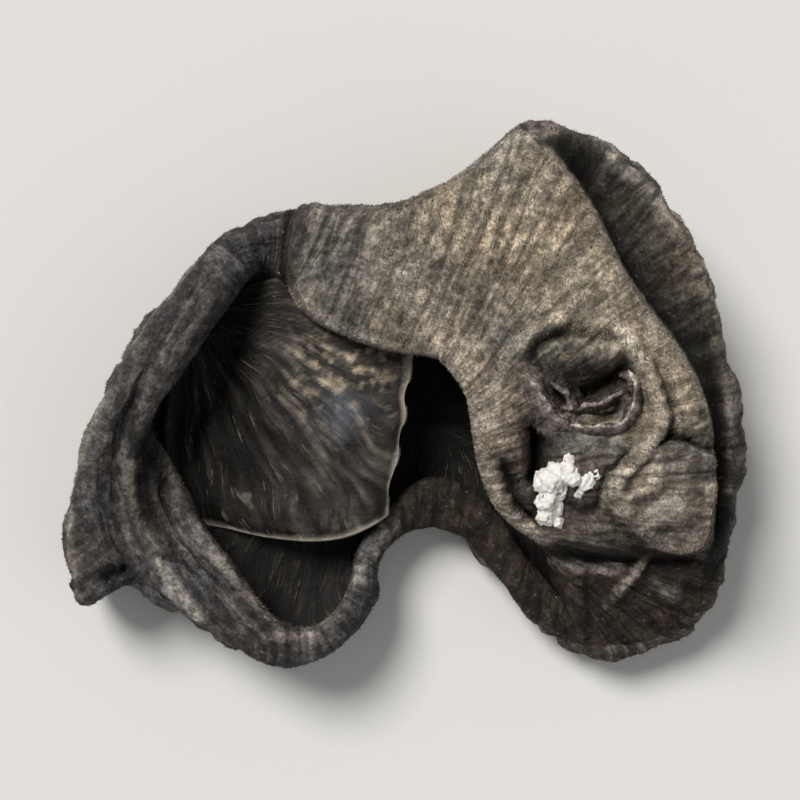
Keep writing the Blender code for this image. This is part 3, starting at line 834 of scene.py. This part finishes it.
def buildTongue():
    columns, rings = tongue["columns"], tongue["rings"]
    crossings = clampedSpline(np.array(tongue["rows"]), np.linspace(0.0, 1.0, columns))
    mid = clampedSpline(crossings.transpose(1, 0, 2), np.linspace(0.0, 1.0, rings))
    eastShare = np.linspace(0.0, 1.0, rings)[None, :]
    # distance to the free edges in the south and the east
    fromEdge = np.zeros((2, columns, rings))
    for axis in (0, 1):
        lengths = np.linalg.norm(np.diff(mid, axis=axis), axis=-1)
        gone = np.flip(np.cumsum(np.flip(lengths, axis), axis), axis)
        fromEdge[axis][tuple(slice(size) for size in gone.shape)] = gone
    fromEdge = fromEdge.min(0)
    normal = gridNormals(mid, False)
    if normal[columns // 2, rings // 2, 2] < 0:
        normal = -normal
    mid = mid + normal * (roughNoise(mid * 0.2 + 4.0, 131, 2) * tongue["wave"])[..., None]
    flutter = softNoise(mid * np.array([0.4, 0.4, 0.1]) + 9.0, 141)
    mid[..., 2] += flutter * tongue["flutter"] * ease(2.5, 0.0, fromEdge)
    ragged = softNoise(mid * np.array([0.1, 0.5, 0.1]) + 19.0, 151)
    mid[..., 0] += ragged * 0.4 * ease(0.7, 1.0, eastShare)
    x, y = mid[..., 0], mid[..., 1]

    offX, offY = x - tongue["pivot"][0], y - tongue["pivot"][1]
    turn, far = np.arctan2(offY, offX), np.hypot(offX, offY)
    bend = roughNoise(mid * 0.16 + 14.0, 161, 2)
    fan = stacked(turn * 15 + bend * 1.6, far * 0.16 + bend * 0.4, 2.0)
    patches = ease(-0.3, 0.5, roughNoise(mid * 0.28 + 40.0, 166, 2))
    fineFibres, broadFibres = tongue["fibres"]
    fibres = sharpFolds(fan, 171, 2) * fineFibres * (0.4 + 0.8 * patches)
    fibres = fibres + sharpFolds(fan * np.array([0.3, 0.6, 1.0]) + 3.0, 181, 1) * broadFibres
    half = halfThickness(tongue, fromEdge)
    settle = ease(0.0, 0.9, fromEdge)
    top = (mid + normal * (half + fibres * settle)[..., None]).reshape(-1, 3)
    bottom = (mid - normal * (half + fibres * 0.3 * settle)[..., None]).reshape(-1, 3)
    count = columns * rings
    index = np.arange(count).reshape(columns, rings)
    quads = quadsBetween(index[:-1], index[1:])
    # a rounded strip joins the two faces round the margin
    ring = np.concatenate([index[0, :-1], index[:-1, -1], index[-1, :0:-1], index[:0:-1, 0]])
    insideRing = np.concatenate([index[1, :-1], index[:-1, -2], index[-2, :0:-1], index[:0:-1, 1]])
    middle = (top[ring] + bottom[ring]) / 2
    away = unit(middle - mid.reshape(-1, 3)[insideRing])
    points = np.vstack([top, bottom, middle + away * tongue["lipThickness"] * 0.35])
    strip = np.arange(len(ring)) + 2 * count
    after, stripAfter = np.roll(ring, -1), np.roll(strip, -1)
    faces = quads[:, ::-1].tolist() + (quads + count).tolist()
    faces += np.stack([ring, after, stripAfter, strip], axis=1).tolist()
    faces += np.stack([strip, stripAfter, after + count, ring + count], axis=1).tolist()
    item = newPiece("wood_ear_tongue", (points + frameShift) * mm, faces)

    patchy = roughNoise(mid * 0.3, 191, 3)
    strands = roughNoise(fan * np.array([1.2, 1.6, 1.0]), 206, 2)
    tone = toneGrid("inside", mid) * (1 + 0.35 * patchy)[..., None]
    # painted shade: the tongue darkens towards its root in the west, where it dips into the groove
    tone = tone * (0.4 + 0.45 * ease(-10.0, -2.0, x))[..., None]
    tone = tone * (0.45 + 0.55 * ease(-10.0, -6.5, x))[..., None] * np.exp(1.5 * strands)[..., None]
    flecks = ease(0.0, 0.7, roughNoise(mid * 1.6 + 31.0, 201, 2) + 0.8 * strands)
    fleckX, fleckY = tongue["fleckMiddle"]
    sheenX, sheenY = tongue["sheenMiddle"]
    tone = mixTone(tone, "fleck", flecks * swell(np.hypot(x - fleckX, y - fleckY), 2.8))
    tone = mixTone(tone, "blueSheen", swell(np.hypot(x - sheenX, y - sheenY), 1.5) * 0.6)
    tone = mixTone(tone, "insideRim", 0.5 * ease(0.55, 0.1, fromEdge + 0.3 * patchy)).reshape(-1, 3)
    below = (toneGrid("plain", mid) * (1 + 0.2 * patchy)[..., None]).reshape(-1, 3)
    # the fibres' relief, which the shader turns into painted light on them
    reliefLight = np.clip(fibres * 3.2, -1, 1).ravel()
    fromLip = fromEdge.ravel() + 0.14 + 0.1 * patchy.ravel()
    across = (turn * 11 + bend * 1.2).ravel()
    everywhere = np.concatenate([index.ravel(), index.ravel(), ring])
    addNotes(item, {
        "tone": np.vstack([tone, below, tone[ring]]),
        "reliefLight": np.concatenate([reliefLight, reliefLight * 0.3, 0.5 + 0 * ring]),
        "inside": np.concatenate([np.ones(count), np.zeros(count), np.ones(len(ring))]),
        "fromLip": fromLip[everywhere],
        "acrossGrain": across[everywhere],
        "alongGrain": far.ravel()[everywhere],
    })
    print("tongue:", len(item.data.vertices), "vertices")
    return item


# the chalky crust where it grew from the wood

scar = {
    "seed": 7,
    # lumps: x, y, height, size
    "lumps": [
        (8.9, -4.7, 11.0, 0.8), (8.8, -5.7, 10.8, 0.75), (8.8, -6.7, 10.5, 0.62), (9.5, -4.1, 10.9, 0.7),
        (10.2, -4.3, 10.9, 0.72), (10.2, -3.4, 10.8, 0.45), (10.0, -2.9, 10.6, 0.3), (11.2, -4.7, 10.8, 0.55),
        (11.7, -4.1, 10.7, 0.5), (12.0, -3.6, 10.6, 0.42), (9.4, -5.2, 10.7, 0.7), (9.4, -6.2, 10.5, 0.45),
        (10.8, -5.3, 10.4, 0.42), (9.5, -7.1, 10.2, 0.4),
    ],
    "stretch": 0.18,
    "depth": 2.2,           # how much further each lump reaches down than up
    "grain": 0.075,
    "roughness": 0.2,
}


def buildScar():
    blob = bmesh.new()
    chance = np.random.default_rng(scar["seed"])
    for x, y, z, size in scar["lumps"]:
        made = bmesh.ops.create_icosphere(blob, subdivisions=3, radius=1.0)
        stretch = 1 + chance.uniform(-scar["stretch"], scar["stretch"], 3)
        for vertex in made["verts"]:
            vertex.co.x = x + vertex.co.x * size * stretch[0]
            vertex.co.y = y + vertex.co.y * size * stretch[1]
            vertex.co.z = z + vertex.co.z * size * stretch[2] * (1.0 if vertex.co.z > 0 else scar["depth"])
    lumps = bpy.data.meshes.new("scar_lumps")
    blob.to_mesh(lumps)
    blob.free()
    item = bpy.data.objects.new("growth_scar_crust", lumps)
    bpy.context.scene.collection.objects.link(item)
    remesh = item.modifiers.new("merge", "REMESH")
    remesh.mode = "VOXEL"
    remesh.voxel_size = scar["grain"]
    merged = bpy.data.meshes.new_from_object(item.evaluated_get(bpy.context.evaluated_depsgraph_get()))
    item.modifiers.clear()
    item.data = merged
    merged.name = "growth_scar_crust"
    points = np.array([v.co for v in merged.vertices])
    normals = np.array([v.normal for v in merged.vertices])
    crumbs = roughNoise(points * 1.4, 211, 3) + 0.6 * sharpFolds(points * 2.2, 221, 2) - 0.5
    points = points + normals * (crumbs * scar["roughness"])[:, None]
    merged.vertices.foreach_set("co", ((points + frameShift) * mm).ravel())
    merged.shade_smooth()
    # soil-coloured patches, and darker towards the bottom of the crust
    soilPatchesAndDarkerBase = 0.6 * ease(0.3, 0.9, roughNoise(points * 0.9, 231, 3)) + ease(10.4, 9.9, points[:, 2])
    addNotes(item, {"crumb": np.clip(crumbs * 0.5 + 0.5, 0, 1), "soilPatchesAndDarkerBase": np.clip(soilPatchesAndDarkerBase, 0, 1)})
    print("scar:", len(merged.vertices), "vertices")
    return item


# nap: short hairs on the felted face, each a thin tetrahedron

nap = {
    "seed": 5,
    "hairs": 46000,
    "length": (0.07, 0.22),
    "thickness": 0.024,
    "buried": 0.03,
    "lieFlat": 1.0,
    "swirl": (2.2, 0.55),           # from place to place, from hair to hair
    "tufts": 1.0,
    "scatter": 0.4,
    "shades": (0.004, 0.62),
}


# tufts of pale hairs among dark ones, which follow the grain of the felt
def tuftsOf(root, grain):
    warp = roughNoise(root * 0.35, 421, 2)
    strokes = stacked(grain["acrossGrain"] * 1.5 + warp * 1.4, grain["alongGrain"] * 0.45 + warp)
    rolled = stacked(grain["rollSide"] * 1.5 + warp, grain["rollAlong"] * 0.4 + warp)
    strokes, rolled = roughNoise(strokes, 411, 2) * 0.85, roughNoise(rolled, 441, 2)
    return strokes + (rolled - strokes) * grain["onBand"] + 0.65 * roughNoise(root * 1.9, 431, 2)


# each hair has a small cell of its own on the map, beside the cells of its neighbours
def layOut(mesh, faces, root):
    number = np.arange(len(root))
    perStrip = math.ceil(math.sqrt(len(root)))
    cell = np.empty((len(root), 2), int)
    cell[np.argsort(root[:, 0], kind="stable"), 0] = number // perStrip
    cell[np.lexsort((root[:, 1], cell[:, 0])), 1] = number % perStrip
    corners = np.array([(0.15, 0.15), (0.85, 0.15), (0.5, 0.85), (0.5, 0.4)])
    spots = ((cell[:, None] + corners) / perStrip).reshape(-1, 2)
    layout = mesh.uv_layers.new(name="OFBake")
    layout.uv.foreach_set("vector", spots[faces.ravel()].astype(np.float32).ravel())


def buildNap(name, source, chosen):
    chance = np.random.default_rng(nap["seed"])
    hairs = nap["hairs"]
    mesh = source.data
    points = numbersOf(mesh.vertices, "co", 3) / mm
    quads = np.array([face.vertices[:] for face in mesh.polygons if len(face.vertices) == 4])
    quads = quads[chosen[quads].all(axis=1)]
    corners = points[quads]
    area = np.linalg.norm(np.cross(corners[:, 2] - corners[:, 0], corners[:, 3] - corners[:, 1]), axis=1)
    picked = chance.choice(len(quads), hairs, p=area / area.sum())
    u, v = chance.random((2, hairs, 1))
    a, b, c, d = (corners[picked, corner] for corner in range(4))
    root = (a * (1 - u) + b * u) * (1 - v) + (d * (1 - u) + c * u) * v
    atRoot = quads[picked, 0]
    up = numbersOf(mesh.vertices, "normal", 3)[atRoot]
    flow = unit(b - a)
    side = np.cross(up, flow)
    byPlace, byHair = nap["swirl"]
    swirl = roughNoise(root * 0.4, 401, 2)[:, None] * byPlace + chance.normal(0, byHair, (hairs, 1))
    lean = flow * np.cos(swirl) + side * np.sin(swirl)
    grow = unit(up + lean * nap["lieFlat"] * chance.uniform(0.5, 1.4, (hairs, 1)))
    length = chance.uniform(*nap["length"], (hairs, 1))
    across = unit(np.cross(grow, up + 0.01))
    other = np.cross(grow, across)
    wide = nap["thickness"]
    foot = root - up * nap["buried"]
    tetra = np.stack([foot + across * wide, foot - across * wide * 0.5 + other * wide * 0.87,
                      foot - across * wide * 0.5 - other * wide * 0.87, root + grow * length], axis=1)
    tetra[..., 2] = np.maximum(tetra[..., 2], lowest)
    start = np.arange(hairs)[:, None, None] * 4
    faces = (start + np.array([[0, 1, 3], [1, 2, 3], [2, 0, 3], [0, 2, 1]])[None]).reshape(-1, 3)
    item = newPiece(name, tetra.reshape(-1, 3) * mm, faces.tolist(), smooth=False)
    layOut(item.data, faces, root)
    kept = ("acrossGrain", "alongGrain", "rollSide", "rollAlong", "onBand")
    grain = {key: numbersOf(mesh.attributes[key].data, "value")[atRoot] for key in kept}
    tone = numbersOf(mesh.attributes["tone"].data, "color", 4)[atRoot, :3]
    tufts = tuftsOf(root, grain)[:, None]
    tone = tone * np.exp(nap["tufts"] * tufts + chance.normal(0, nap["scatter"], (hairs, 1)))
    addNotes(item, {"tone": np.repeat(np.clip(tone, *nap["shades"]), 4, axis=0)})
    print(name + ":", hairs, "hairs")
    return item


# materials

class Socket:
    def __init__(self, tree, source):
        self.tree, self.source = tree, source

    def maths(self, operation, *values):
        return make(self.tree, "ShaderNodeMath", {"operation": operation}, list(values))

    def __add__(self, other): return self.maths("ADD", self, other)
    def __radd__(self, other): return self.maths("ADD", other, self)
    def __sub__(self, other): return self.maths("SUBTRACT", self, other)
    def __rsub__(self, other): return self.maths("SUBTRACT", other, self)
    def __mul__(self, other): return self.maths("MULTIPLY", self, other)
    def __rmul__(self, other): return self.maths("MULTIPLY", other, self)


# any node: its type, its settings, then the values or links of its sockets; gives back one output
def make(tree, kind, settings, sockets, output=0):
    node = tree.nodes.new(kind)
    for name, value in settings.items():
        setattr(node, name, value)
    for name, value in sockets.items() if isinstance(sockets, dict) else enumerate(sockets):
        if isinstance(value, Socket):
            tree.links.new(value.source, node.inputs[name])
        else:
            node.inputs[name].default_value = value
    return Socket(tree, node.outputs[output]) if node.outputs else None


def note(tree, name, output=2):
    return make(tree, "ShaderNodeAttribute", {"attribute_name": name}, {}, output)


def vectorOf(tree, x, y, z=0.0):
    return make(tree, "ShaderNodeCombineXYZ", {}, {"X": x, "Y": y, "Z": z})


def between(tree, value, low, high, toLow=0.0, toHigh=1.0):
    return make(tree, "ShaderNodeMapRange", {"interpolation_type": "SMOOTHSTEP"},
                {"Value": value, "From Min": low, "From Max": high, "To Min": toLow, "To Max": toHigh})


def noise(tree, vector, scale, detail=2.0, roughness=0.6, distortion=0.0):
    return make(tree, "ShaderNodeTexNoise", {}, {
        "Vector": vector, "Scale": scale, "Detail": detail, "Roughness": roughness, "Distortion": distortion})


def blendColours(tree, share, first, second):
    return make(tree, "ShaderNodeMix", {"data_type": "RGBA"}, {"Factor": share, 6: first, 7: second}, output=2)


def dim(tree, colour, amount):
    return make(tree, "ShaderNodeVectorMath", {"operation": "SCALE"}, {0: colour, "Scale": amount})


def bumpy(tree, strength, distance, height):
    return make(tree, "ShaderNodeBump", {}, {"Strength": strength, "Distance": distance, "Height": height})


# a material from a function that gives the values and links of its shader's sockets
def newFinish(name, socketsFor):
    finish = bpy.data.materials.new(name)
    finish.use_nodes = True
    tree = finish.node_tree
    tree.nodes.clear()
    shader = make(tree, "ShaderNodeBsdfPrincipled", {}, socketsFor(tree))
    make(tree, "ShaderNodeOutputMaterial", {}, {"Surface": shader})
    return finish


fleshLook = {
    "feltRoughness": 0.93,
    "insideRoughness": 0.72,
    "mottleScale": 1500.0,
    "fleeceScale": 4600.0,
    "cloudScale": 260.0,
    # colour, width and share of the painted highlight along the lip, partly its own paler edge
    "lipPaleHighlight": (0.42, 0.37, 0.30, 1.0),
    "lipWidth": 0.4,
    "lipShare": 0.75,
    "speck": (0.46, 0.40, 0.32, 1.0),
    "speckShare": 0.4,
    "fibre": (0.27, 0.24, 0.19, 1.0),
    "fibreShare": 0.35,
    "bump": 0.00018,
    "bumpStrength": 0.9,
    "specular": 0.25,
}


def fleshSockets(tree):
    look = fleshLook
    place = make(tree, "ShaderNodeTexCoord", {}, {}, output=3)
    tone = note(tree, "tone", output=0)
    reliefLight, inside, fromLip = (note(tree, name) for name in ("reliefLight", "inside", "fromLip"))
    # coordinates that follow the sheet, stretched so that the streaks run away from the lip
    streakPlace = vectorOf(tree, note(tree, "acrossGrain") * 1.5, note(tree, "alongGrain") * 0.22, inside * 7.0)
    bandPlace = vectorOf(tree, note(tree, "rollSide") * 1.9, note(tree, "rollAlong") * 0.35)
    streak = noise(tree, streakPlace, 1.0, 3.0, distortion=0.6)
    bandStreak = noise(tree, bandPlace, 1.0, 3.0, distortion=0.4)
    streak = streak + (bandStreak - streak) * note(tree, "onBand")
    fineStreak = noise(tree, streakPlace, 2.7, distortion=0.4)
    mottle = noise(tree, place, look["mottleScale"], 3.0)
    fleece = noise(tree, place, look["fleeceScale"])
    cloudy = noise(tree, place, look["cloudScale"], roughness=0.5)
    # felt: pale fibre tips over a darker ground
    light = between(tree, mottle, 0.36, 0.64, 0.6, 1.35) * between(tree, fleece, 0.3, 0.7, 0.7, 1.3)
    light = light * between(tree, streak, 0.36, 0.64, 0.5, 1.5) * between(tree, cloudy, 0.3, 0.7, 0.88, 1.12)
    # painted highlight on ridges and painted shade in creases, partly paler wear on the ridges
    light = light * between(tree, reliefLight, -0.4, 0.45, 0.5, 1.4)
    specks = between(tree, fleece, 0.62, 0.74) * between(tree, mottle, 0.5, 0.62)
    feltColour = blendColours(tree, specks * look["speckShare"], dim(tree, tone, light), look["speck"])
    # inside: dark horny face with paler fibres
    light = between(tree, streak, 0.35, 0.65, 0.6, 1.35) * between(tree, mottle, 0.3, 0.7, 0.75, 1.3)
    # painted light and shade on the veins and fibres
    light = light * between(tree, reliefLight, -0.4, 0.6, 0.3, 2.6)
    threads = between(tree, fineStreak, 0.6, 0.7) * between(tree, reliefLight, -0.1, 0.5)
    insideColour = blendColours(tree, threads * look["fibreShare"], dim(tree, tone, light), look["fibre"])
    colour = blendColours(tree, inside, feltColour, insideColour)
    # painted highlight: a pale band along the lip, partly the lip's own paler edge
    lip = between(tree, fromLip + (mottle - 0.5) * 0.5, look["lipWidth"], 0.05)
    colour = blendColours(tree, lip * look["lipShare"], colour, look["lipPaleHighlight"])
    roughness = between(tree, inside, 0.0, 1.0, look["feltRoughness"], look["insideRoughness"])
    height = mottle * 0.6 + fleece * 0.4 + streak * 0.5 + fineStreak * inside * 0.4
    return {
        "Base Color": colour, "Roughness": roughness + (mottle - 0.5) * 0.2,
        "Normal": bumpy(tree, look["bumpStrength"], look["bump"], height), "Specular IOR Level": look["specular"]}


napLook = {
    "roughness": 0.85,
    "specular": 0.2,
}


def napSockets(tree):
    return {
        "Base Color": note(tree, "tone", output=0), "Roughness": napLook["roughness"],
        "Specular IOR Level": napLook["specular"]}


scarLook = {
    "chalk": (0.97, 0.95, 0.92, 1.0),
    "cream": (0.88, 0.84, 0.78, 1.0),
    "soil": (0.10, 0.085, 0.07, 1.0),
    "soilShare": 0.45,
    "grainScale": 2600.0,
    "bump": 0.00012,
    "specular": 0.2,
}


def scarSockets(tree):
    look = scarLook
    place = make(tree, "ShaderNodeTexCoord", {}, {}, output=3)
    grain = noise(tree, place, look["grainScale"], 4.0, 0.7)
    colour = blendColours(tree, between(tree, grain, 0.35, 0.65), look["cream"], look["chalk"])
    colour = blendColours(tree, between(tree, note(tree, "crumb"), 0.3, 0.02), colour, look["soil"])
    colour = blendColours(tree, note(tree, "soilPatchesAndDarkerBase") * look["soilShare"], colour, look["soil"])
    return {
        "Base Color": colour, "Roughness": 0.95 + (grain - 0.5) * 0.05, "Specular IOR Level": look["specular"],
        "Normal": bumpy(tree, 1.0, look["bump"], grain)}


# the scene

studio = {
    "cameraHeight": 0.125,
    "lens": 85,
    "clip": (0.005, 60.0),
    "floor": (0.80, 0.79, 0.77, 1.0),
    "floorRoughness": 0.9,
    "floorSize": 30.0,
    "ambient": 0.22,
    # name, the way it shines, strength, spread of the source, tint
    "suns": [
        ("key", (0.50, -0.62, -1.0), 2.7, 0.42, (1.0, 0.98, 0.95)),
        ("fill", (-0.9, 0.3, -0.9), 0.3, 1.0, (0.93, 0.96, 1.0)),
    ],
}


def floorSockets(tree):
    return {"Base Color": studio["floor"], "Roughness": studio["floorRoughness"]}


def buildStudio():
    scene = bpy.context.scene
    corners = np.array([(-1.0, -1.0, 0.0), (1.0, -1.0, 0.0), (1.0, 1.0, 0.0), (-1.0, 1.0, 0.0)])
    floor = newPiece("floor", corners * studio["floorSize"], [(0, 1, 2, 3)], smooth=False)
    floor.data.materials.append(newFinish("pale_floor", floorSockets))

    for name, aim, strength, spread, tint in studio["suns"]:
        light = bpy.data.lights.new(name, "SUN")
        light.energy, light.angle, light.color = strength, spread, tint
        item = bpy.data.objects.new(name, light)
        item.rotation_mode = "QUATERNION"
        item.rotation_quaternion = Vector(aim).to_track_quat("-Z", "Y")
        item.location = -0.3 * Vector(aim).normalized()
        scene.collection.objects.link(item)
    world = bpy.data.worlds.new("soft_room")
    scene.world = world
    world.use_nodes = True
    world.node_tree.nodes["Background"].inputs["Color"].default_value = (1.0, 1.0, 1.0, 1.0)
    world.node_tree.nodes["Background"].inputs["Strength"].default_value = studio["ambient"]

    camera = bpy.data.cameras.new("camera")
    camera.lens = studio["lens"]
    camera.clip_start, camera.clip_end = studio["clip"]
    item = bpy.data.objects.new("camera", camera)
    item.location = (0.0, 0.0, studio["cameraHeight"])
    scene.collection.objects.link(item)
    scene.camera = item
    scene.view_settings.view_transform = "Standard"
    print("studio: floor,", len(studio["suns"]), "lights, camera")


buildStudio()
flesh = newFinish("dried_flesh", fleshSockets)
chalk = newFinish("chalky_scar", scarSockets)
hair = newFinish("nap", napSockets)
earPiece, feltFace, paleFelt, darkFelt = buildEar()
finished = [
    (earPiece, flesh),
    (buildStandingFolds(feltFace), flesh),
    (buildTongue(), flesh),
    (buildScar(), chalk),
    (buildNap("wood_ear_pale_nap", earPiece, paleFelt), hair),
    (buildNap("wood_ear_dark_nap", earPiece, darkFelt), hair),
]
for piece, finish in finished:
    piece.data.materials.clear()
    piece.data.materials.append(finish)
    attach(piece, "root")
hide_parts("wood_ear")
